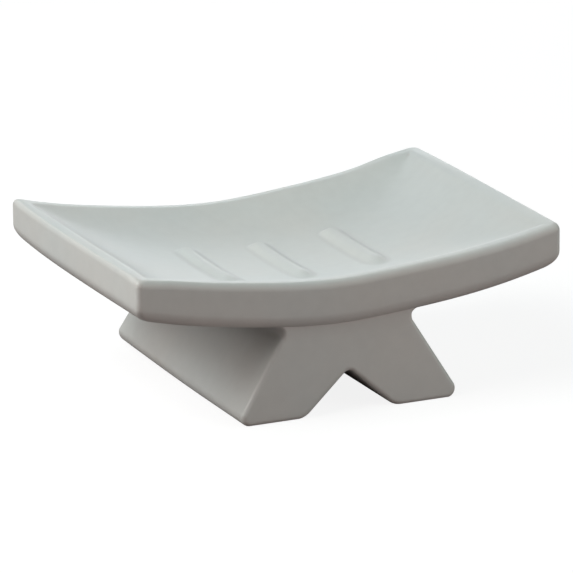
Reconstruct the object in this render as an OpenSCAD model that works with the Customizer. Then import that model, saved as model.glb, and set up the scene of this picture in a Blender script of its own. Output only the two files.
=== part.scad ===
// Ceramic soap dish: an upswept rectangular tray on a trestle foot.
// Lengths are in millimetres, +X runs to the right along the tray, +Y to the back and +Z up.
// The origin is on the table, under the middle of the tray.

/* [Tray] */
// Length of the tray over its two short end faces
tray_len = 140; // [130:1:180]
// Depth of the tray over its front and back faces
tray_depth = 101.6; // [90:0.2:130]
// Height of the rim above the table at the middle of the long sides
rim_h = 42.7; // [38:0.1:55]
// How much higher the rim stands at the short ends than in the middle
end_rise = 9.1; // [3:0.1:14]
// Height of the outer face in the middle, from the crest of the rim to the underside
wall_h = 14.7; // [12:0.1:18]
// Height of the outer face at the short ends
end_wall_h = 13.8; // [11:0.1:18]
// Depth of the dish below the crest of the rim
dish_depth = 8.9; // [6:0.1:10]

/* [Tray edges] */
// Radius of the four upright corners, seen from above
corner_r = 1.8; // [1:0.1:6]
// Radius from the outer face over to the crest of the rim
crest_r = 3.4; // [2:0.1:4]
// Radius from the crest of the rim down into the dish
lip_r = 4; // [2:0.1:6]
// Radius from the outer face under to the underside
under_r = 4.4; // [2:0.1:6]
// Radius of the soft bend across the middle of the tray
bend_r = 9; // [4:0.5:20]
// How far the middle of each short end stands out past its corners
end_bow = 0.7; // [0:0.1:2]
// How far the middle of each long side is drawn in between its corners
side_bow = 1.4; // [0:0.1:2]

/* [Ribs] */
// Number of ribs that hold the soap off the floor of the dish
rib_count = 3; // [1:2:3]
// Distance from one rib to the next
rib_pitch = 24.5; // [18:0.5:25.5]
// Width of a rib
rib_w = 8; // [5:0.5:9]
// Length of a rib, from end to end
rib_len = 43.6; // [30:0.2:48]
// Height of a rib above the floor
rib_h = 1.6; // [1:0.1:3]

/* [Foot] */
// How far the front and back faces of the foot stand back behind those of the tray
foot_setback = 2.3; // [2:0.1:8]
// How far the front and back faces of the foot lean in by the time they reach its neck
foot_draft = 1.2; // [0:0.1:4]
// Distance between the outer faces of the legs where they meet the table
toe_span = 75.8; // [64:0.2:90]
// Width of the foot at its neck, just below the tray
neck_w = 43.2; // [36:0.2:50]
// Width of the notch between the two soles
notch_w = 29.8; // [20:0.2:36]
// Height of the notch
notch_h = 13.3; // [8:0.2:18]
// Radius at the outer edge of each sole
toe_r = 2.9; // [2.5:0.1:4]
// Radius at the inner edge of each sole
heel_r = 7; // [3:0.5:9]
// Radius at the top of the notch
notch_r = 2; // [1:0.1:5]
// Height of the upright neck between the legs and the tray
neck_h = 3.2; // [3.2:0.1:6]
// Radius where the legs run into the neck
neck_r = 3; // [1:0.1:4]
// Radius round the edges of the front and back faces
foot_edge_r = 1.5; // [0.5:0.1:2]
// Thickness ground off the soles to level them
sole_ground = 0.3; // [0.1:0.1:0.8]

/* [Joint] */
// How far the smoothed clay reaches out from the neck along the underside of the tray
joint_w = 4.6; // [2:0.1:8]
// Height of the smoothed clay up the neck
joint_h = 2.4; // [1:0.1:2.4]
// How far the smoothed clay reaches into the neck
joint_bite = 1.5; // [1:0.1:3]
// Thickness of the smoothed clay at its outer edge
joint_edge = 0.4; // [0.3:0.1:0.8]

/* [Hidden] */

glaze = [0.80, 0.81, 0.79];
foot_glaze = [0.76, 0.77, 0.75];
joint_glaze = [0.72, 0.73, 0.71];

// Half sizes that the outlines are drawn from
half_len = tray_len / 2;
half_depth = tray_depth / 2;
toe_half = toe_span / 2;
neck_half = neck_w / 2;
notch_half = notch_w / 2;

// How the rise of the rim is shared between the bend in the middle and the curl at the ends
bend_share = 0.47;
curl_power = 2.9;
// How fast the outlines round their corners towards the middle of the tray, per unit of inset
round_share = 0.3;
// How tight the valleys are where the walls of the dish meet
valley_power = 8;
// Rings across the underside, as shares of the way in to its middle
under_shares = [1, 0.5];
// Columns across one half of a rib, and rows over its round end, as shares of half its width
rib_shares = [0.25, 0.5, 0.75, 1];
// Columns between two ribs, as shares of the gap
gap_shares = [0.33, 0.67];

// Steps over the upright corners, the rounded edges and the other arcs
corner_steps = 4;
edge_steps = 4;
lip_steps = 3;
wall_steps = 4;
arc_steps = 6;
seat_steps = 10;

// Length that a cut runs past what it cuts
overrun = 5;
// Width of plain floor or wall between the ends of the ribs and the rings round them
rib_margin = 3;

// Height of the crest of the rim and of the underside at a place along the tray
function bend(x) = (norm([x, bend_r]) - bend_r) / (norm([half_len, bend_r]) - bend_r);
function curl(x) = pow(abs(x) / half_len, curl_power);
function rim_z(x) = rim_h + end_rise * (bend_share * bend(x) + (1 - bend_share) * curl(x));
function under_z(x) = rim_z(x) - wall_h + (wall_h - end_wall_h) * pow(x / half_len, 2);

// The bow of the four sides, which fades out towards the middle
function bowed(p) = [
    p.x + end_bow * (1 - pow(p.y / half_depth, 2)) * pow(p.x / half_len, 3),
    p.y - side_bow * (1 - pow(p.x / half_len, 2)) * pow(p.y / half_depth, 3)
];

// The dish's wall in section: an arc over the lip and a wide arc to the middle of the floor,
// tangent to each other. The valleys take away some depth, which is put back here.
full_depth = dish_depth * pow(2, 1 / valley_power);
lip_angle = 2 * atan(full_depth / (half_depth - crest_r));
lip_inset = crest_r + lip_r * sin(lip_angle);
floor_r = (half_depth - crest_r) / sin(lip_angle) - lip_r;
function wall_drop(inset) =
    inset < lip_inset ? lip_r - sqrt(pow(lip_r, 2) - pow(max(inset - crest_r, 0), 2))
    : full_depth - floor_r + sqrt(pow(floor_r, 2) - pow(max(half_depth - inset, 0), 2));

// Depth of the dish at a place, where the nearer wall counts most
function dish_drop(x, y) =
    let (end = wall_drop(half_len - abs(x)), side = wall_drop(half_depth - abs(y)))
    end <= 0 || side <= 0 ? 0 : pow(pow(end, -valley_power) + pow(side, -valley_power), -1 / valley_power);

// Height of a rib above the floor, a soft wave with round ends
function rib_z(x, y) =
    let (half = rib_w / 2, nearest = round(x / rib_pitch) * rib_pitch)
    let (reach = (rib_count - 1) / 2 * rib_pitch)
    let (dx = x - max(min(nearest, reach), -reach), dy = max(abs(y) - rib_len / 2 + half, 0))
    rib_h / 2 * (1 + cos(180 * min(norm([dx, dy]) / half, 1)));

function dish_z(p) = rim_z(p.x) - dish_drop(p.x, p.y) + rib_z(p.x, p.y);

// Rows and columns of the ribbed middle of the dish, from its centre outwards
rib_half = rib_w / 2;
rib_straight = rib_len / 2 - rib_half;
middle_half = rib_len / 2 + rib_margin;
middle_rows = concat([0, rib_straight / 2, rib_straight],
    [for (s = rib_shares) rib_straight + rib_half * s]);
middle_columns = concat([0], rib_half * rib_shares, [for (k = [1 : (rib_count - 1) / 2]) each concat(
    [for (s = gap_shares) (k - 1) * rib_pitch + rib_half + (rib_pitch - rib_w) * s],
    [for (i = [len(rib_shares) - 1 : -1 : 0]) k * rib_pitch - rib_half * rib_shares[i]],
    [k * rib_pitch], [for (s = rib_shares) k * rib_pitch + rib_half * s])]);
middle_inset = half_depth - middle_half;
middle_len = half_len - middle_inset;
middle_r = corner_r + round_share * middle_inset;

// One quarter of the outline at an inset, from the middle of its right end to the middle of its back side
function quarter(inset) =
    let (hx = half_len - inset, hy = half_depth - inset)
    let (r = corner_r + round_share * inset)
    let (last = len(middle_columns) - 1)
    concat(
        [for (row = middle_rows) [hx, (hy - r) * row / middle_half]],
        [for (i = [0 : corner_steps - 1]) let (a = 90 * i / corner_steps)
            [hx - r + r * cos(a), hy - r + r * sin(a)]],
        [[hx - r, hy]],
        [for (i = [last : -1 : 0]) [(hx - r) * middle_columns[i] / (middle_len - middle_r), hy]]
    );

// The whole outline, made from its first quarter
function whole(q) = let (m = len(q) - 1) concat(
    [for (i = [0 : m - 1]) q[i]],
    [for (i = [0 : m - 1]) [-q[m - i].x, q[m - i].y]],
    [for (i = [0 : m - 1]) [-q[i].x, -q[i].y]],
    [for (i = [0 : m - 1]) [q[m - i].x, -q[m - i].y]]
);

// Rings of the tray's skin, each an outline at its own height
function under_ring(inset, lift) = [for (p = whole(quarter(inset))) [p.x, p.y, under_z(p.x) + lift]];
function crest_ring(inset, drop) = [for (p = whole(quarter(inset))) [p.x, p.y, rim_z(p.x) - drop]];
function dish_ring(inset) = [for (p = whole(quarter(inset))) [p.x, p.y, dish_z(p)]];

tray_rings = concat(
    [for (s = under_shares) under_ring(under_r + (middle_inset - under_r) * s, 0)],
    [for (i = [0 : edge_steps]) let (a = 90 * i / edge_steps)
        under_ring(under_r * (1 - sin(a)), under_r * (1 - cos(a)))],
    [for (i = [0 : edge_steps]) let (a = 90 * i / edge_steps)
        crest_ring(crest_r * (1 - cos(a)), crest_r * (1 - sin(a)))],
    [for (i = [1 : lip_steps]) dish_ring(crest_r + lip_r * sin(lip_angle * i / lip_steps))],
    [for (i = [1 : wall_steps]) dish_ring(lip_inset + (middle_inset - lip_inset) * i / wall_steps)]
);

// Faces between ring k and the next, each of n points
function band(k, n) = [for (i = [0 : n - 1], half = [0 : 1]) let (j = (i + 1) % n)
    half == 0 ? [k * n + i, k * n + n + i, k * n + n + j] : [k * n + i, k * n + n + j, k * n + j]];

// The middle of the tray, inside the innermost rings: columns from right to left,
// each a run of places from front to back
middle_quarter = quarter(middle_inset);
middle_tops = [for (i = [len(middle_rows) : len(middle_quarter) - 1]) middle_quarter[i]];
middle_shares = concat([-1], [for (i = [len(middle_rows) - 1 : -1 : 1]) -middle_rows[i] / middle_half],
    [for (row = middle_rows) row / middle_half], [1]);
middle_places = [
    for (side = [1, -1], i = [0 : len(middle_tops) - 1])
        let (top = middle_tops[side > 0 ? i : len(middle_tops) - 1 - i])
        if (side > 0 || i > 0)
            for (s = middle_shares) [side * top.x, top.y * s]
];
dish_middle = [for (p = middle_places) [p.x, p.y, dish_z(p)]];
under_middle = [for (p = middle_places) [p.x, p.y, under_z(p.x)]];

// Faces over a middle whose first point is number first, facing up or down
function middle_faces(first, up) =
    let (rows = len(middle_shares), columns = len(middle_places) / rows)
    [for (i = [0 : columns - 2], j = [0 : rows - 2], half = [0 : 1])
        let (a = first + i * rows + j, b = a + rows)
        let (face = half == 0 ? [a, b, b + 1] : [a, b + 1, a + 1])
        up ? face : [face[0], face[2], face[1]]];

module tray() {
    n = len(tray_rings[0]);
    first = n * len(tray_rings);
    skin = concat([for (ring = tray_rings) each ring], dish_middle, under_middle);
    color(glaze)
    polyhedron(
        points = [for (p = skin) let (b = bowed(p)) [b.x, b.y, p.z]],
        faces = concat([for (k = [0 : len(tray_rings) - 2]) each band(k, n)],
            middle_faces(first, true), middle_faces(first + len(dish_middle), false)));
}

// Section of the foot: its corners going round from the top left, each with its radius
foot_half = half_depth - foot_setback;
neck_z = under_z(neck_half) - neck_h;
foot_corners = [
    [-neck_half, rim_h, 0],
    [-neck_half, neck_z, -neck_r],
    [-toe_half, -sole_ground, toe_r],
    [-notch_half, -sole_ground, heel_r],
    [0, notch_h, -notch_r],
    [notch_half, -sole_ground, heel_r],
    [toe_half, -sole_ground, toe_r],
    [neck_half, neck_z, -neck_r],
    [neck_half, rim_h, 0]
];

// Points round a corner [x, z, radius] of an outline that is moved in by inset.
// The radius is negative at a corner that points into the solid.
function unit(v) = v / norm(v);
function turned(p, a) = [p.x * cos(a) - p.y * sin(a), p.x * sin(a) + p.y * cos(a)];
function corner_points(before, here, after, inset) =
    let (u = unit([here.x - before.x, here.y - before.y]), v = unit([after.x - here.x, after.y - here.y]))
    let (nu = [-u.y, u.x], nv = [-v.y, v.x])
    let (sharp = [here.x, here.y] + (nu + nv) * inset / (1 + nu * nv))
    let (turn = atan2(u.x * v.y - u.y * v.x, u * v))
    let (r = abs(here.z) - sign(here.z) * inset)
    let (start = sharp - u * r * tan(abs(turn) / 2), centre = start + nu * r * sign(turn))
    [for (i = [0 : arc_steps]) centre + turned(start - centre, turn * i / arc_steps)];

// Places from the back face to the front face with the inset of the section there,
// which draws in over the rounded edges at both ends
function stations(half, edge_r) = [for (end = [1, -1], i = [0 : edge_steps])
    let (a = 90 * (end > 0 ? edge_steps - i : i) / edge_steps)
    [end * (half - edge_r * (1 - sin(a))), edge_r * (1 - cos(a))]];

// The faces at both ends lean in with height
function leaning(y, z) = y * (1 - foot_draft / foot_half * z / neck_z);

// A solid through sections that all have the same number of points
module sections(rings) {
    n = len(rings[0]);
    last = len(rings) - 1;
    polyhedron(
        points = [for (ring = rings, p = ring) [p.x, leaning(p.y, p.z), p.z]],
        faces = concat([[for (i = [0 : n - 1]) i]], [for (k = [0 : last - 1]) each band(k, n)],
            [[for (i = [n - 1 : -1 : 0]) last * n + i]]));
}

// Height of the tray's lower side over a place, where its lower edge curves up to its front and back faces
function seat_z(x, y) =
    let (place = abs(leaning(y, under_z(x))), bow = side_bow * (1 - pow(x / half_len, 2)))
    let (straight = place + bow * pow((place + bow * pow(place / half_depth, 3)) / half_depth, 3))
    let (short = max(straight - half_depth + under_r, 0))
    under_z(x) + under_r - sqrt(pow(under_r, 2) - pow(short, 2));

// Height of the lower edge of the smoothed clay
function joint_z(y, inset) = seat_z(neck_half - inset + joint_w, y) - joint_h;

// One section of the foot: its top, a row of points against the tray between the two joints,
// then the shoulders that carry the joints, and the legs
function foot_section(y, inset) =
    let (neck = neck_half - inset, inner = neck - joint_bite, low = joint_z(y, inset))
    concat(
        [for (i = [0 : seat_steps]) let (x = inner * (1 - 2 * i / seat_steps)) [x, y, seat_z(x, y)]],
        [[-inner, y, low], [-neck, y, low]],
        [for (i = [1 : len(foot_corners) - 2])
            for (p = corner_points(foot_corners[i - 1], foot_corners[i], foot_corners[i + 1], inset))
                [p.x, y, p.y]],
        [[neck, y, low], [inner, y, low]]
    );

module foot_blank() {
    sections([for (s = stations(foot_half, foot_edge_r)) foot_section(s[0], s[1])]);
}

module table_cut() {
    translate([-toe_span, -tray_depth, -overrun])
        cube([toe_span * 2, tray_depth * 2, overrun]);
}

module foot() {
    color(foot_glaze)
    difference() {
        foot_blank();
        table_cut();
    }
}

// Smoothed clay in the angle between the neck and the tray, along the right side.
// It sits on the neck's shoulder, lies against the tray and has a hollow outside.
function joint_section(y, inset) =
    let (neck = neck_half - inset, inner = neck - joint_bite, outer = neck + joint_w)
    let (low = joint_z(y, inset))
    concat(
        [for (i = [0 : edge_steps]) let (x = outer + (inner - outer) * i / edge_steps) [x, y, seat_z(x, y)]],
        [[inner, y, low]],
        [for (i = [0 : arc_steps]) let (a = 90 * i / arc_steps)
            [outer - joint_w * cos(a), y, low + (joint_h - joint_edge) * sin(a)]]
    );

module joint() {
    color(joint_glaze)
    sections([for (s = stations(foot_half, foot_edge_r)) joint_section(s[0], s[1])]);
}

module joint_right() {
    joint();
}

module joint_left() {
    mirror([1, 0, 0])
        joint();
}

tray();
foot();
joint_left();
joint_right();
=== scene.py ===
# %% [markdown]
# A glazed stoneware soap dish
#
# This lesson dresses a finished CAD part in Blender. The part is a soap dish: a rectangular tray
# that sweeps up to both ends, raised ribs on its floor, and a solid foot with two legs under it.
# Its sizes are those of the CAD part. Blender adds the soft edges, the small accidents of a kiln,
# and the glaze.

# %% Load the CAD model
import math
import bmesh
import bpy
import numpy as np
from mathutils import Matrix, Vector


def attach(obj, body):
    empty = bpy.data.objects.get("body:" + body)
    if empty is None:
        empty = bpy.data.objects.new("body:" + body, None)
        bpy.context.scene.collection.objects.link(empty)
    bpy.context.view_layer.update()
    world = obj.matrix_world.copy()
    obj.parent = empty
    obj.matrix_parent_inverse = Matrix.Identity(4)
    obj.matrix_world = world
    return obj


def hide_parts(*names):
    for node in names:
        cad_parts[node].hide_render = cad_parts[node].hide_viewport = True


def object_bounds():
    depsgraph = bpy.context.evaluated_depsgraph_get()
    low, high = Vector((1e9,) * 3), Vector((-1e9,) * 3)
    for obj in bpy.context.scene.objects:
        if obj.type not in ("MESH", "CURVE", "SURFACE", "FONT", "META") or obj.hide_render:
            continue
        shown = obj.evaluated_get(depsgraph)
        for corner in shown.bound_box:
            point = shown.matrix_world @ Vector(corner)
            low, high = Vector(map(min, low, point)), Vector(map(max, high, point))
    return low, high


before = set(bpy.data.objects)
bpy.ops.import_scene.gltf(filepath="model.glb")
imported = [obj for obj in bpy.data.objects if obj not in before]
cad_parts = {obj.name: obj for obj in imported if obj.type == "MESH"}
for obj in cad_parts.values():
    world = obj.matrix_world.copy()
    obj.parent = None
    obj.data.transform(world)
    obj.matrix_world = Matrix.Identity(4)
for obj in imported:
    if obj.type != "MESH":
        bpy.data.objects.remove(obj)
cad_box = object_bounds()
scene = bpy.context.scene
MM = 0.001
print("CAD nodes:", sorted(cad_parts))
print("CAD box in mm:", [[round(c / MM, 1) for c in corner] for corner in cad_box])

# %% [markdown]
# The camera
#
# The dish is seen from its front left, a little above the rim, through a long lens: the lines
# that run back hardly draw together. A long lens stands far away, so the numbers below are a
# turn round the dish, a height above the horizon, a distance, and a point to look at.
# The image is square. The lens follows from the size of one radian in its pixels. A camera can
# be dragged into place by hand, but numbers put it back in the same place in every run.

# %% A direction from a turn and a height
def outward(turn, height):
    """The way from the dish to a place round it and above the horizon."""
    level = math.cos(height)
    return Vector((math.sin(turn) * level, -math.cos(turn) * level, math.sin(height)))


# %% Camera
TURN, HEIGHT, ROLL = math.radians(-24.369), math.radians(16.448), math.radians(-0.5)
DISTANCE = 1655.9 * MM
LOOK_RIGHT, LOOK_UP = 0.966 * MM, 25.513 * MM
IMAGE_SIDE, PIXELS_PER_RADIAN, SENSOR = 573, 5349.8, 36.0

back = outward(TURN, HEIGHT)
right = Vector((math.cos(TURN), math.sin(TURN), 0))
up = back.cross(right)
tilted_right = right * math.cos(ROLL) + up * math.sin(ROLL)
tilted_up = up * math.cos(ROLL) - right * math.sin(ROLL)
stand = Matrix.Translation(right * LOOK_RIGHT + up * LOOK_UP + back * DISTANCE)
camera = bpy.data.objects.new("camera", bpy.data.cameras.new("camera"))
camera.matrix_world = stand @ Matrix((tilted_right, tilted_up, back)).transposed().to_4x4()
camera.data.sensor_fit = "HORIZONTAL"
camera.data.sensor_width = SENSOR
camera.data.lens = PIXELS_PER_RADIAN / IMAGE_SIDE * SENSOR
scene.collection.objects.link(camera)
scene.camera = camera
print("lens in mm:", round(camera.data.lens, 1))

# %% [markdown]
# The outline of the tray
#
# Seen from above, the tray is a rectangle with barely rounded corners. Further in, the walls of
# the dish meet in soft valleys, so each inner outline is a rectangle with a larger corner radius.
# The short ends stand out a little in the middle, and the long sides are drawn in a little.
# A box with bevels could be bent to this shape. Each curve is simple, though, so a few short
# functions draw it exactly, and the same ones serve the foot later on.

# %% Sizes of the tray in millimetres
HALF_LEN, HALF_DEPTH = 70.0, 50.8
RIM_H, END_RISE = 42.7, 9.1
WALL_H, END_WALL_H = 14.7, 13.8
DISH_DEPTH, VALLEY_POWER = 8.9, 3
CORNER_R, ROUND_SHARE = 1.8, 0.3
CREST_R, LIP_R, UNDER_R = 3.4, 4.0, 4.4
BEND_R, BEND_SHARE, CURL_POWER = 9.0, 0.47, 2.9
END_BOW, SIDE_BOW = 0.7, 1.4

# %% Heights along the tray
def rim_z(x):
    """Height of the crest of the rim: a soft bend in the middle and a curl at the ends."""
    reach = np.hypot(HALF_LEN, BEND_R) - BEND_R
    bend = (np.hypot(x, BEND_R) - BEND_R) / reach
    curl = (np.abs(x) / HALF_LEN) ** CURL_POWER
    return RIM_H + END_RISE * (BEND_SHARE * bend + (1 - BEND_SHARE) * curl)


def under_z(x):
    """Height of the underside, which follows the rim."""
    return rim_z(x) - WALL_H + (WALL_H - END_WALL_H) * (x / HALF_LEN) ** 2


def bowed(x, y):
    """The bow of the four sides, which fades out towards the middle."""
    return (x + END_BOW * (1 - (y / HALF_DEPTH) ** 2) * (x / HALF_LEN) ** 3,
            y - SIDE_BOW * (1 - (x / HALF_LEN) ** 2) * (y / HALF_DEPTH) ** 3)


print("rim in the middle and at the ends:", rim_z(0.0), rim_z(HALF_LEN))

# %% [markdown]
# The inside of the dish
#
# From the crest of the rim the clay goes over a small lip and then down one wide, hollow arc to
# the middle of the floor, so the inside is a shallow bowl and not a box. A mould maker would
# sweep a template along each side. Here the template is a function of the distance from a side.
# Two such walls meet in a soft valley. A power mean joins them: the nearer wall counts most, and
# the higher the power, the tighter the valley. The CAD part has a power of 8. A thumb and a wet
# sponge leave less of a line than that, and on the real dish the valleys can hardly be seen.

# %% The wall of the dish in section
TINY = 1e-6
full_depth = DISH_DEPTH * 2 ** (1 / VALLEY_POWER)
lip_angle = 2 * math.atan(full_depth / (HALF_DEPTH - CREST_R))
lip_inset = CREST_R + LIP_R * math.sin(lip_angle)
floor_r = (HALF_DEPTH - CREST_R) / math.sin(lip_angle) - LIP_R


def wall_drop(inset):
    """How far one wall lies below the crest of the rim at a distance from the outer face."""
    lip = LIP_R - np.sqrt(np.maximum(LIP_R ** 2 - np.maximum(inset - CREST_R, 0) ** 2, 0))
    bowl = full_depth - floor_r + np.sqrt(floor_r ** 2 - np.maximum(HALF_DEPTH - inset, 0) ** 2)
    return np.where(inset < lip_inset, lip, bowl)


def dish_drop(x, y):
    """Depth of the dish at a place, with soft valleys between its walls."""
    end = np.maximum(wall_drop(HALF_LEN - np.abs(x)), TINY)
    side = np.maximum(wall_drop(HALF_DEPTH - np.abs(y)), TINY)
    return (end ** -VALLEY_POWER + side ** -VALLEY_POWER) ** (-1 / VALLEY_POWER)


print("the wall starts at", round(math.degrees(lip_angle), 1), "degrees")
print("the dish is", dish_drop(0.0, 0.0), "mm deep")

# %% [markdown]
# The ribs
#
# Three low ribs hold the soap clear of the water. They are part of the moulding, so they have
# round ends and no seam. Three capsules could be joined to the tray with booleans. A height that
# is added to the floor does it without a seam: here each rib is a wave over a short line. A
# tighter, steeper wave hides its far side from a low camera. The real ribs show a dark line
# there, so their flanks slope gently, and the right one runs out a little further than the left
# one. The front ends fade out over a longer way than the back ends, as a gouge leaves a mould.

# %% Ribs
RIB_PLACES, RIB_W, RIB_LEN, RIB_H = (-24.5, 0.0, 24.5), 8.0, 43.6, 1.6
RIB_BACK, FRONT_FADE = 1.15, 0.5
LEFT_FLANK, RIGHT_FLANK = 4.4, 4.8


def rib_z(x, y):
    """Height of the ribs above the floor."""
    half = RIB_W / 2
    fade = np.where(y < 0, FRONT_FADE, 1)
    dy = np.maximum(fade * (np.abs(y) - RIB_LEN / 2) + half, 0)
    height = 0.0 * x
    for place in RIB_PLACES:
        flank = np.where(x < place, LEFT_FLANK, RIGHT_FLANK)
        away = np.minimum(np.hypot((x - place) / flank, dy / half), 1)
        height = height + RIB_H / 2 * (1 + np.cos(math.pi * away ** RIB_BACK))
    return height


def dish_z(x, y):
    """Height of the inside of the dish."""
    return rim_z(x) - dish_drop(x, y) + rib_z(x, y)


# %% [markdown]
# The tray as one skin
#
# The slab has a rim, an underside and a ribbed floor, and all of it is one piece of clay. One
# closed mesh suits that best: rings of points run round the slab, over its edges and down the
# wall of the dish, and two grids close the skin, one over the floor and one under the tray.
# The rings share their columns with the grids, and extra columns lie close to each rib.

# %% The middle of the floor, where the grids lie
RIB_MARGIN = 3.0
middle_half = RIB_LEN / 2 + RIB_MARGIN
middle_inset = HALF_DEPTH - middle_half
middle_r = CORNER_R + ROUND_SHARE * middle_inset
middle_len = HALF_LEN - middle_inset - middle_r

# %% Rows and columns of the grids
GRID_STEP = 1.0
CLOSE = (0, 0.2, 0.4, 0.6, 0.8, 1)


def finer(stops, step):
    """The stops, with steps no longer than step between them."""
    result = [stops[0]]
    for low, high in zip(stops[:-1], stops[1:]):
        count = max(1, math.ceil((high - low) / step))
        result += [low + (high - low) * (i + 1) / count for i in range(count)]
    return np.array(result)


half_rib = RIB_W / 2
rib_straight = RIB_LEN / 2 - half_rib
row_stops = [0] + [rib_straight + half_rib * s for s in CLOSE] + [middle_half]
rows = finer(row_stops, GRID_STEP) / middle_half
near_ribs = {abs(place) + side * half_rib * s
             for place in RIB_PLACES for s in CLOSE for side in (-1, 1)}
column_stops = sorted(c for c in near_ribs | {middle_len} if 0 <= c <= middle_len)
columns = finer(column_stops, GRID_STEP) / middle_len
print(len(rows), "rows and", len(columns), "columns in a quarter of the floor")

# %% One ring of the skin
CORNER_STEPS = 14


def quarter(inset):
    """A quarter of the outline: from the middle of the right end to the middle of the back."""
    hx, hy = HALF_LEN - inset, HALF_DEPTH - inset
    r = CORNER_R + ROUND_SHARE * inset
    end = np.stack([np.full(len(rows), hx), (hy - r) * rows], -1)
    a = np.linspace(0, math.pi / 2, CORNER_STEPS + 1)[1:]
    corner = np.stack([hx - r + r * np.cos(a), hy - r + r * np.sin(a)], -1)
    side = np.stack([(hx - r) * columns[::-1], np.full(len(columns), hy)], -1)[1:]
    return np.concatenate([end, corner, side])


def ring(inset):
    """The whole outline: the quarter and its three mirror images."""
    first = quarter(inset)
    there, return_way = first[:-1], first[::-1][:-1]
    return np.concatenate([there, return_way * (-1, 1), -there, return_way * (1, -1)])


# %% [markdown]
# The rings climb from the underside over the outer faces and the rim into the dish. The rim is
# sponged while the clay is damp: that leaves a tight curve at the very top and a slower one down
# the outer face. A quarter of a narrow, tall ellipse has just these two.

# %% Rings under the tray and up its outer face
CREST_IN, CREST_DOWN = 1.7, 2.7
UNDER_STEPS, EDGE_STEPS, FACE_STEPS = 8, 12, 5


def arc(steps):
    """The angles of a quarter circle in equal steps."""
    return np.linspace(0, math.pi / 2, steps + 1)


skin_rings = []
for inset in np.linspace(middle_inset, UNDER_R, UNDER_STEPS + 1)[:-1]:
    p = ring(inset)
    skin_rings.append(np.c_[p, under_z(p[:, 0])])
for a in arc(EDGE_STEPS):
    p = ring(UNDER_R * (1 - math.sin(a)))
    skin_rings.append(np.c_[p, under_z(p[:, 0]) + UNDER_R * (1 - math.cos(a))])
outer = ring(0)
low, high = under_z(outer[:, 0]) + UNDER_R, rim_z(outer[:, 0]) - CREST_DOWN
for share in np.linspace(0, 1, FACE_STEPS + 1)[1:-1]:
    skin_rings.append(np.c_[outer, low + (high - low) * share])

# %% Rings over the rim and down into the dish
RIM_STEPS, LIP_STEPS, WALL_STEPS = 14, 6, 21

for a in arc(RIM_STEPS):
    p = ring(CREST_IN * (1 - math.cos(a)))
    skin_rings.append(np.c_[p, rim_z(p[:, 0]) - CREST_DOWN * (1 - math.sin(a))])
lip_insets = CREST_R + LIP_R * np.sin(np.linspace(0, lip_angle, LIP_STEPS + 1))
wall_insets = np.linspace(lip_inset, middle_inset, WALL_STEPS + 1)[1:]
for inset in np.concatenate([lip_insets, wall_insets]):
    p = ring(inset)
    skin_rings.append(np.c_[p, dish_z(p[:, 0], p[:, 1])])
print(len(skin_rings), "rings of", len(outer), "points")

# %% [markdown]
# A ring and the next one are joined by a band of four-sided faces. The same helper joins the
# sections of the foot later on.

# %% Helpers that join points into faces and make an object
WELD_REACH = 0.002 * MM


def bands(count, rings):
    """Faces between rings that follow each other, each of count points."""
    faces = []
    for a in range(0, (rings - 1) * count, count):
        b = a + count
        faces += [(a + i, a + (i + 1) % count, b + (i + 1) % count, b + i) for i in range(count)]
    return faces


def weld(mesh):
    """Joins points that lie on each other, and turns every face outwards."""
    clay = bmesh.new()
    clay.from_mesh(mesh)
    bmesh.ops.remove_doubles(clay, verts=clay.verts, dist=WELD_REACH)
    bmesh.ops.recalc_face_normals(clay, faces=clay.faces)
    open_edges = sum(not e.is_manifold for e in clay.edges)
    clay.to_mesh(mesh)
    clay.free()
    print(mesh.name, len(mesh.vertices), "points,", len(mesh.polygons), "faces,",
          open_edges, "open edges")


def made(name, points, faces):
    """A smooth, closed object from points in millimetres."""
    mesh = bpy.data.meshes.new(name)
    mesh.from_pydata([tuple(float(c) * MM for c in p) for p in points], [], faces)
    thing = bpy.data.objects.new(name, mesh)
    scene.collection.objects.link(thing)
    weld(mesh)
    mesh.shade_smooth()
    return thing


# %% [markdown]
# The hand and the kiln
#
# Clay moves as it dries and as it is fired. The long rims and the right end of this dish have
# sunk a little, and the back rim stands up near its right corner. The back left corner has a
# rounder lower edge than the others, and the front left one a rounder top. The foot's outer left
# toe turns up towards the back. Most of it is under a millimetre, and none of it over two. A part
# with ruled lines would look cast in plastic, so these few soft bumps are worth their lines. A
# brush in sculpt mode could make them, but formulas give the same bumps in every run. A warp of
# a rim is a place along it, a reach and a height.

# %% Small warps in millimetres
BACK_RIM_WARPS = ((-14, 26, -0.9), (-62, 22, -0.6), (58, 8.5, 0.8))
FRONT_RIM_WARPS = ((-11, 21, -0.6), (46, 26, -0.45))
CORNER_LIFT, CORNER_IN, CORNER_REACH = 1.6, 0.6, 25
FRONT_DROP, FRONT_REACH = 0.9, 8
END_DROP, END_PLACE, END_REACH = 0.6, -20, 45


def warped(points):
    """The points of the tray after drying and firing."""
    x, y, z = points.T.copy()
    low = np.clip((rim_z(x) - z) / WALL_H, 0, 1)
    far_left = np.clip((CORNER_REACH - HALF_LEN - x) / CORNER_REACH, 0, 1) ** 2
    corner = np.clip(y / HALF_DEPTH, 0, 1) ** 3 * far_left
    front = np.exp(-((x + HALF_LEN) ** 2 + (y + HALF_DEPTH) ** 2) / FRONT_REACH ** 2)
    end = np.clip(x / HALF_LEN, 0, 1) ** 4 * np.exp(-((y - END_PLACE) / END_REACH) ** 2)
    z += CORNER_LIFT * corner * low - (FRONT_DROP * front + END_DROP * end) * (1 - low)
    for side, warps in ((1, BACK_RIM_WARPS), (-1, FRONT_RIM_WARPS)):
        share = np.clip(side * y / HALF_DEPTH, 0, 1) ** 3
        for place, reach, height in warps:
            z += height * share * np.exp(-((x - place) / reach) ** 2)
    return np.stack([x + CORNER_IN * corner, y, z], -1)


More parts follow.
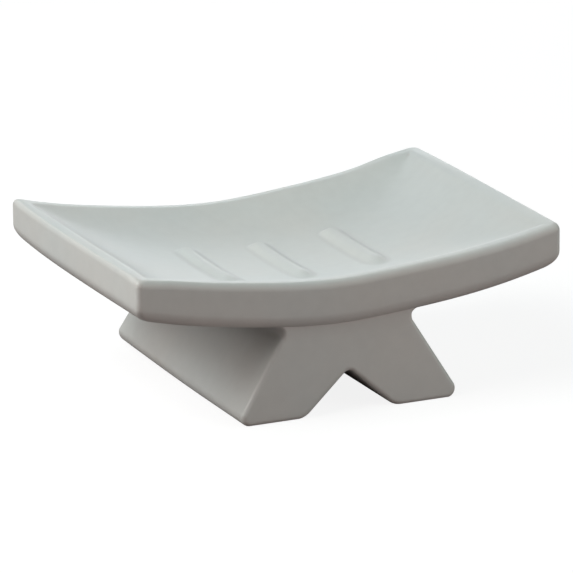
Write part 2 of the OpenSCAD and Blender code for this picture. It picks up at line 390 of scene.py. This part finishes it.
# %% Two grids close the skin
tops = quarter(middle_inset)[len(rows) - 1:]
tops = np.concatenate([tops, tops[::-1][1:] * (-1, 1)])
spread = np.concatenate([-rows[::-1], rows[1:]])
middle = np.array([(x, y * s) for x, y in tops for s in spread])
over_floor = np.c_[middle, dish_z(middle[:, 0], middle[:, 1])]
under_tray = np.c_[middle, under_z(middle[:, 0])]
wide = len(spread)
corners = [i * wide + j for i in range(len(tops) - 1) for j in range(wide - 1)]
grid = [(c, c + wide, c + wide + 1, c + 1) for c in corners]
print(len(grid), "faces in each grid")

# %% The tray
points = warped(np.concatenate(skin_rings + [over_floor, under_tray]))
points[:, 0], points[:, 1] = bowed(points[:, 0], points[:, 1])
points[:, 2] = np.minimum(points[:, 2], cad_box[1][2] / MM)
first_top = len(skin_rings) * len(outer)
first_under = first_top + len(middle)
faces = bands(len(outer), len(skin_rings))
faces += [tuple(first_top + i for i in f) for f in grid]
faces += [tuple(first_under + i for i in f[::-1]) for f in grid]
tray = made("glazed_tray", points, faces)

# %% [markdown]
# The foot
#
# The foot is a thick bar of clay with one section all the way back: a pinched neck under the
# tray, two legs that spread, and a notch between their soles. It could be cut from a block with
# booleans. It is quicker, and its edges stay soft, as a loft: the section is drawn once with
# round corners, and copies of it stand behind each other, drawn in where the end faces round over.

# %% Sizes of the foot in millimetres
FOOT_HALF, FOOT_DRAFT, FOOT_EDGE_R = 48.5, 1.2, 1.5
TOE_HALF, NECK_HALF, NOTCH_HALF, NOTCH_H = 37.9, 21.6, 14.9, 13.3
TOE_R, HEEL_R, NOTCH_R, NECK_R = 2.9, 7.0, 2.0, 3.0
NECK_H, SOLE_GROUND = 3.2, 0.3
neck_z = under_z(NECK_HALF) - NECK_H

# %% Round corners of the section
ARC_STEPS = 10


def rounded_corner(before, here, after, radius, inset):
    """Points of the arc round a corner, going anticlockwise. A negative radius is hollow."""
    before, here, after = (np.array(p) for p in (before, here, after))
    u = (here - before) / np.linalg.norm(here - before)
    v = (after - here) / np.linalg.norm(after - here)
    nu, nv = np.array([-u[1], u[0]]), np.array([-v[1], v[0]])
    sharp = here + (nu + nv) * inset / (1 + nu @ nv)
    turn = math.atan2(u[0] * v[1] - u[1] * v[0], u @ v)
    r = abs(radius) - math.copysign(1, radius) * inset
    start = sharp - u * r * math.tan(abs(turn) / 2)
    centre = start + nu * r * math.copysign(1, turn)
    x, z = start - centre
    return [centre + (x * math.cos(a) - z * math.sin(a), x * math.sin(a) + z * math.cos(a))
            for a in np.linspace(0, turn, ARC_STEPS + 1)]


# %% [markdown]
# Where the neck meets the tray, the potter smoothed a little clay into the angle. Under the glaze
# it can't be told from the foot, so it is drawn into the same section as a hollow corner.

# %% Where the foot meets the tray
JOINT_W, JOINT_H, INTO_TRAY = 4.6, 2.4, 0.4


def leaning(y, z):
    """The end faces of the foot lean in with height."""
    return y * (1 - FOOT_DRAFT / FOOT_HALF * z / neck_z)


def seat_z(x, y):
    """Height of the tray's lower side over a place, its rounded lower edge included."""
    place = np.abs(leaning(y, under_z(x)))
    bow = SIDE_BOW * (1 - (x / HALF_LEN) ** 2)
    straight = place + bow * ((place + bow * (place / HALF_DEPTH) ** 3) / HALF_DEPTH) ** 3
    short = np.maximum(straight - HALF_DEPTH + UNDER_R, 0)
    return under_z(x) + UNDER_R - np.sqrt(UNDER_R ** 2 - short ** 2)


# %% Section of the foot
left_corners = [(-NECK_HALF, RIM_H, 0), (-NECK_HALF, neck_z, -NECK_R),
                (-TOE_HALF, -SOLE_GROUND, TOE_R), (-NOTCH_HALF, -SOLE_GROUND, HEEL_R)]
right_corners = [(-x, z, r) for x, z, r in reversed(left_corners)]
foot_corners = left_corners + [(0, NOTCH_H, -NOTCH_R)] + right_corners


def foot_section(y, inset):
    """The whole section at one place along the foot, drawn in by inset all round."""
    neck = NECK_HALF - inset
    seat = seat_z(neck + JOINT_W, y)
    hollow = [(neck + JOINT_W * (1 - math.sin(a)), seat - JOINT_H * (1 - math.cos(a)))
              for a in arc(ARC_STEPS)]
    outline = [(-neck - JOINT_W, seat + INTO_TRAY)] + [(-x, z) for x, z in hollow]
    for before, here, after in zip(foot_corners, foot_corners[1:], foot_corners[2:]):
        outline += rounded_corner(before[:2], here[:2], after[:2], here[2], inset)
    outline += hollow[::-1] + [(neck + JOINT_W, seat + INTO_TRAY)]
    return [(x, leaning(y, z), max(z, 0.0)) for x, z in outline]


# %% The back left toe turns up
TOE_LIFT, TOE_REACH, TOE_WIDTH, TOE_POWER = 2.0, 60, 12, 1.5


def upturned(points):
    """The points of the foot, with the left sole lifted at its outer edge towards the back."""
    x, y, z = points.T.copy()
    towards_back = np.clip((y - FOOT_HALF + TOE_REACH) / TOE_REACH, 0, 1) ** TOE_POWER
    outermost = np.clip((TOE_WIDTH - TOE_HALF - x) / TOE_WIDTH, 0, 1) ** TOE_POWER
    z += TOE_LIFT * towards_back * outermost * np.clip(1 - z / neck_z, 0, 1)
    return np.stack([x, y, z], -1)


# %% [markdown]
# The end faces meet the sides in a small radius. Each section there stands a little further out
# and is drawn in a little less, along a quarter circle. One more section just inside the end
# face keeps that face flat where the light falls on it. The attribute called sole marks the
# points that stand on the table before the toe turns up. No glaze goes there.

# %% Places along the foot
FOOT_EDGE_STEPS, FACE_INSET = 8, 0.5
SPREAD_OUT = (0.95, 0.85, 0.6, 0.3, 0)

stations = [(FOOT_HALF, FOOT_EDGE_R + FACE_INSET)]
stations += [(FOOT_HALF - FOOT_EDGE_R * (1 - math.cos(a)), FOOT_EDGE_R * (1 - math.sin(a)))
             for a in arc(FOOT_EDGE_STEPS)]
stations += [((FOOT_HALF - FOOT_EDGE_R) * share, 0) for share in SPREAD_OUT]
stations += [(-y, inset) for y, inset in stations[-2::-1]]
print(len(stations), "sections along the foot")

# %% The foot
SOLE_MARK = 0.05


def store(thing, name, values):
    """Keeps one value for each point of an object, for the glaze to read."""
    thing.data.attributes.new(name, "FLOAT", "POINT").data.foreach_set("value", values)


points = np.array([p for y, inset in stations for p in foot_section(y, inset)])
around = len(points) // len(stations)
faces = bands(around, len(stations))
faces += [tuple(range(around)), tuple(reversed(range(len(points) - around, len(points))))]
foot = made("glazed_foot", upturned(points), faces)
store(foot, "sole", (points[:, 2] < SOLE_MARK).astype(float))

# %% [markdown]
# Where the glaze runs thin
#
# A glaze melts in the kiln. It runs off edges and gathers in hollows, so an edge shows a little
# of the warm clay below and a hollow looks a little deeper. The darkening in hollows is partly
# this pooled glaze and partly painted shade, the shade that falls in creases and recesses.
# Cycles can guess edges and hollows with the Pointiness output of its Geometry node. A vertex
# attribute holds them for any renderer: it compares the normals at both ends of each mesh edge,
# and a few rounds of smoothing blur it.

# %% Measure edges and hollows on a mesh
EDGE_SPAN, SMOOTHINGS = 2.0, 3


def mark_edges_and_hollows(thing):
    """Stores edge, above 0.5 on edges and below it in hollows."""
    mesh = thing.data
    count = len(mesh.vertices)
    place, normal = np.empty(count * 3), np.empty(count * 3)
    mesh.vertices.foreach_get("co", place)
    mesh.vertices.foreach_get("normal", normal)
    place, normal = place.reshape(-1, 3) / MM, normal.reshape(-1, 3)
    pairs = np.empty(len(mesh.edges) * 2, dtype=int)
    mesh.edges.foreach_get("vertices", pairs)
    a, b = pairs.reshape(-1, 2).T

    def gathered(at_a, at_b):
        """For each point, the sum of what the mesh edges bring to it."""
        total = np.zeros(count)
        np.add.at(total, a, at_a)
        np.add.at(total, b, at_b)
        return total

    step = place[b] - place[a]
    length = np.maximum(np.linalg.norm(step, axis=1), TINY)
    bend = np.einsum("ij,ij->i", normal[b] - normal[a], step) / length
    curve = gathered(bend, bend) / np.maximum(gathered(length, length), TINY)
    edge = np.clip(0.5 + curve * EDGE_SPAN / 2, 0, 1)
    neighbours = np.maximum(np.bincount(pairs, minlength=count), 1)
    for _ in range(SMOOTHINGS):
        edge = (edge + gathered(edge[b], edge[a]) / neighbours) / 2
    store(thing, "edge", edge)
    print(thing.name, "edge from", round(edge.min(), 2), "to", round(edge.max(), 2))


for thing in (tray, foot):
    mark_edges_and_hollows(thing)

# %% [markdown]
# The glaze
#
# The dish has a pale grey satin glaze: light comes back softly, with no sharp mirror image. A
# real glaze is never one flat colour. A picture of a glaze could be wrapped round the dish, but
# noise in space has no seams and stretches nowhere. Slow clouds of a slightly greener and a
# slightly warmer grey lie over each other, edges warm up where the glaze is thin, hollows darken
# where it pools deep and with painted shade of the creases, and very fine dimples break the
# shine. The soles are kept clean of glaze, or they would stick to the shelf of the kiln, and bare
# clay shows there.

# %% Helpers that add nodes
def clean_tree(owner):
    """The node tree of a material or a world, emptied."""
    owner.use_nodes = True
    owner.node_tree.nodes.clear()
    return owner.node_tree


def node(tree, kind, at, **settings):
    """A new node with its settings, and its inputs by name or number."""
    new = tree.nodes.new(kind)
    new.location = at
    inputs = settings.pop("inputs", {})
    for key, value in settings.items():
        setattr(new, key, value)
    for key, value in inputs.items():
        if isinstance(value, bpy.types.NodeSocket):
            tree.links.new(value, new.inputs[key])
        else:
            new.inputs[key].default_value = value
    return new


def remap(tree, at, value, start, end, low=0.0, high=1.0):
    """Goes from low to high while the value goes from start to end."""
    return node(tree, "ShaderNodeMapRange", at,
                inputs={0: value, 1: start, 2: end, 3: low, 4: high}).outputs[0]


def blend(tree, at, share, first, second):
    """The first colour, with a share of the second one in it."""
    return node(tree, "ShaderNodeMix", at, data_type="RGBA",
                inputs={0: share, 6: first, 7: second}).outputs[2]


def maths(tree, at, operation, first, second):
    """Two values put through one operation."""
    return node(tree, "ShaderNodeMath", at, operation=operation,
                inputs={0: first, 1: second}).outputs[0]


# %% Noise in three sizes, each with a scale and a detail
NOISES = ((22.0, 3.0), (260.0, 4.0), (900.0, 2.0))

glaze = bpy.data.materials.new("satin_glaze")
tree = clean_tree(glaze)
place = node(tree, "ShaderNodeTexCoord", (-1400, 0)).outputs["Object"]
clouds, mottle, dimples = (
    node(tree, "ShaderNodeTexNoise", (-1150, 300 - 300 * row),
         inputs={"Vector": place, "Scale": scale, "Detail": detail}).outputs["Fac"]
    for row, (scale, detail) in enumerate(NOISES))

# %% Colour of the glaze
COOL_GREY, WARM_GREY = (0.60, 0.63, 0.62, 1), (0.62, 0.63, 0.61, 1)
# The darker grey for hollows is partly glaze that pools deep and partly painted shade of creases
# and recesses.
THIN_GLAZE, POOL_AND_SHADE_COLOUR = (0.56, 0.545, 0.52, 1), (0.50, 0.485, 0.48, 1)
CLOUD_SPAN, MOTTLE_SPAN, FLECK_SHADES = (0.35, 0.65), (0.3, 0.7), (0.975, 1.01)
THIN_SPAN, THIN_SHARE = (0.56, 0.95), 0.55
POOL_AND_SHADE_SPAN, POOL_AND_SHADE_SHARE = (0.46, 0.30), 0.8

grey = blend(tree, (-650, 300), remap(tree, (-900, 300), clouds, *CLOUD_SPAN), COOL_GREY, WARM_GREY)
fleck = remap(tree, (-900, 0), mottle, *MOTTLE_SPAN, *FLECK_SHADES)
tone = node(tree, "ShaderNodeVectorMath", (-450, 250), operation="SCALE",
            inputs={0: grey, "Scale": fleck}).outputs[0]
edge = node(tree, "ShaderNodeAttribute", (-1150, 550), attribute_name="edge").outputs["Fac"]
thin = remap(tree, (-900, 550), edge, *THIN_SPAN, high=THIN_SHARE)
# Painted shade: the colour darkens in the hollows of each mesh, partly as pooled glaze and partly
# as the shade that falls in creases.
pool_and_shade = remap(tree, (-900, 750), edge, *POOL_AND_SHADE_SPAN, high=POOL_AND_SHADE_SHARE)
run = blend(tree, (-250, 300), thin, tone, THIN_GLAZE)
pooled_and_shaded = blend(tree, (-150, 400), pool_and_shade, run, POOL_AND_SHADE_COLOUR)

# %% Bare clay on the soles
BARE_CLAY, CLAY_ROUGHNESS = (0.55, 0.50, 0.43, 1), 0.85

height = node(tree, "ShaderNodeSeparateXYZ", (-1150, -600), inputs={0: place}).outputs["Z"]
marked = node(tree, "ShaderNodeAttribute", (-1150, -800), attribute_name="sole").outputs["Fac"]
lowest = maths(tree, (-900, -600), "LESS_THAN", height, SOLE_MARK * MM)
wiped = maths(tree, (-900, -800), "GREATER_THAN", marked, 0.5)
bare = maths(tree, (-700, -600), "MAXIMUM", lowest, wiped)
colour = blend(tree, (-50, 200), bare, pooled_and_shaded, BARE_CLAY)

# %% Shine of the glaze
SATIN_ROUGHNESS, GLAZE_IOR = (0.42, 0.46), 1.5
DIMPLE_STRENGTH, DIMPLE_DEPTH = 0.08, 0.1 * MM

satin = remap(tree, (-900, -150), mottle, *MOTTLE_SPAN, *SATIN_ROUGHNESS)
rough = node(tree, "ShaderNodeMix", (-50, -100), data_type="FLOAT",
             inputs={0: bare, 2: satin, 3: CLAY_ROUGHNESS}).outputs[0]
bump = node(tree, "ShaderNodeBump", (-50, -350),
            inputs={"Strength": DIMPLE_STRENGTH, "Distance": DIMPLE_DEPTH, "Height": dimples})
shader = node(tree, "ShaderNodeBsdfPrincipled", (200, 0),
              inputs={"Base Color": colour, "Roughness": rough, "Normal": bump.outputs[0],
                      "IOR": GLAZE_IOR})
node(tree, "ShaderNodeOutputMaterial", (500, 0), inputs={"Surface": shader.outputs[0]})

# %% Glaze on every piece
for thing in (tray, foot):
    thing.data.materials.append(glaze)
for cad_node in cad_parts.values():
    cad_node.data.materials.clear()
    cad_node.data.materials.append(glaze)
print("glaze nodes:", len(tree.nodes))

# %% [markdown]
# The room
#
# The dish stands on a plain pale table in a room with soft light. To the camera the table and
# the room are white, and the table still keeps a faint shadow. For the light that falls on the
# dish they are darker: a white table would light the hollow under the tray from below, and the
# shade there gives the dish its weight. A Light Path node tells the two kinds of ray apart.

# %% Floor
FLOOR_SIDE, FLOOR_GAP = 8.0, 0.02 * MM
reach = FLOOR_SIDE / 2
floor_mesh = bpy.data.meshes.new("floor")
floor_mesh.from_pydata([(x * reach, y * reach, 0) for x, y in ((-1, -1), (1, -1), (1, 1), (-1, 1))],
                       [], [(0, 1, 2, 3)])
floor = bpy.data.objects.new("floor", floor_mesh)
floor.location.z = -FLOOR_GAP
scene.collection.objects.link(floor)
print("floor:", FLOOR_SIDE, "m square")

# %% Paper on the floor
WHITE = (1, 1, 1, 1)
TABLE_SHADE, SHADOW_SHARE, PAPER_GLOW = (0.24, 0.20, 0.195, 1), (0.2, 0.2, 0.2, 1), 0.87

paper = bpy.data.materials.new("pale_paper")
tree = clean_tree(paper)
seen = node(tree, "ShaderNodeLightPath", (-600, 200)).outputs["Is Camera Ray"]
dim = node(tree, "ShaderNodeBsdfDiffuse", (-400, 0), inputs={"Color": TABLE_SHADE})
shadow = node(tree, "ShaderNodeBsdfDiffuse", (-400, -150), inputs={"Color": SHADOW_SHARE})
white = node(tree, "ShaderNodeEmission", (-400, -300),
             inputs={"Color": WHITE, "Strength": PAPER_GLOW})
bright = node(tree, "ShaderNodeAddShader", (-200, -200),
              inputs={0: shadow.outputs[0], 1: white.outputs[0]})
mixed = node(tree, "ShaderNodeMixShader", (0, 0),
             inputs={0: seen, 1: dim.outputs[0], 2: bright.outputs[0]})
node(tree, "ShaderNodeOutputMaterial", (200, 0), inputs={"Surface": mixed.outputs[0]})
floor_mesh.materials.append(paper)

# %% Sky
SKY_IN_GLAZE = 0.36
world = bpy.data.worlds.new("room")
scene.world = world
tree = clean_tree(world)
seen = node(tree, "ShaderNodeLightPath", (-600, 0))
mirrored = maths(tree, (-400, -150), "MULTIPLY", seen.outputs["Is Glossy Ray"], SKY_IN_GLAZE)
strength = maths(tree, (-200, 0), "ADD", seen.outputs["Is Camera Ray"], mirrored)
sky = node(tree, "ShaderNodeBackground", (0, 0), inputs={"Color": WHITE, "Strength": strength})
node(tree, "ShaderNodeOutputWorld", (200, 0), inputs={"Surface": sky.outputs[0]})

# %% [markdown]
# The lamps
#
# The main light is a window to the left, so the inside of the dish is bright, the left end is a
# little less so, and the faces to the front lie in the shade. A warm reflector at the front
# right and a cool wide lamp above it lift that shade. Three small, weak lamps behind the dish
# draw a bright line along the rim and lay a soft sheen on the left half of the floor. Point
# lamps would cast hard shadows, so all of them are wide square panels.

# %% Lamps
LAMP_DISTANCE = 0.9


def soft_lamp(name, turn, height, brightness, side=0.6):
    """A square soft light that looks at the dish from a turn and a height in degrees.
    Brightness is the red, green and blue that it adds on a white face turned to it."""
    toward = outward(math.radians(turn), math.radians(height))
    most = max(brightness)
    data = bpy.data.lights.new(name, "AREA")
    data.shape = "SQUARE"
    data.size = side
    data.energy = most * math.pi * LAMP_DISTANCE ** 2 * math.pi
    data.color = [c / most for c in brightness]
    lamp = bpy.data.objects.new(name, data)
    lamp.location = toward * LAMP_DISTANCE
    lamp.rotation_euler = toward.to_track_quat("Z", "Y").to_euler()
    scene.collection.objects.link(lamp)
    print(name, round(data.energy, 2), "W")


soft_lamp("window_left", -90, 38, (0.735, 0.685, 0.655), side=0.7)
soft_lamp("window_left_back", -110, 50, (0.365, 0.42, 0.425))
soft_lamp("reflector_front", 38, 10, (0.35, 0.272, 0.26))
soft_lamp("fill_right", 60, 35, (0.17, 0.26, 0.25), side=0.8)
soft_lamp("lamp_back", 150, 15, (0.088, 0.09, 0.093), side=0.3)
soft_lamp("lamp_back_right", 135, 30, (0.052, 0.038, 0.042), side=0.3)
soft_lamp("lamp_back_high", 168, 27, (0.017, 0.021, 0.025), side=0.3)
scene.view_settings.view_transform = "Standard"

# %% [markdown]
# Put the pieces on the part
#
# Every piece moves with a body of the CAD part, which here has only one. The dressed tray stands
# for the CAD tray. The dressed foot stands for the foot and both joints. The CAD nodes could be
# dressed as they are, but the finer skins show softer edges and the warps of the kiln.

# %% Ride and replace
for thing in (tray, foot):
    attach(thing, "root")
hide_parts("tray")
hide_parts("foot", "joint_left", "joint_right")
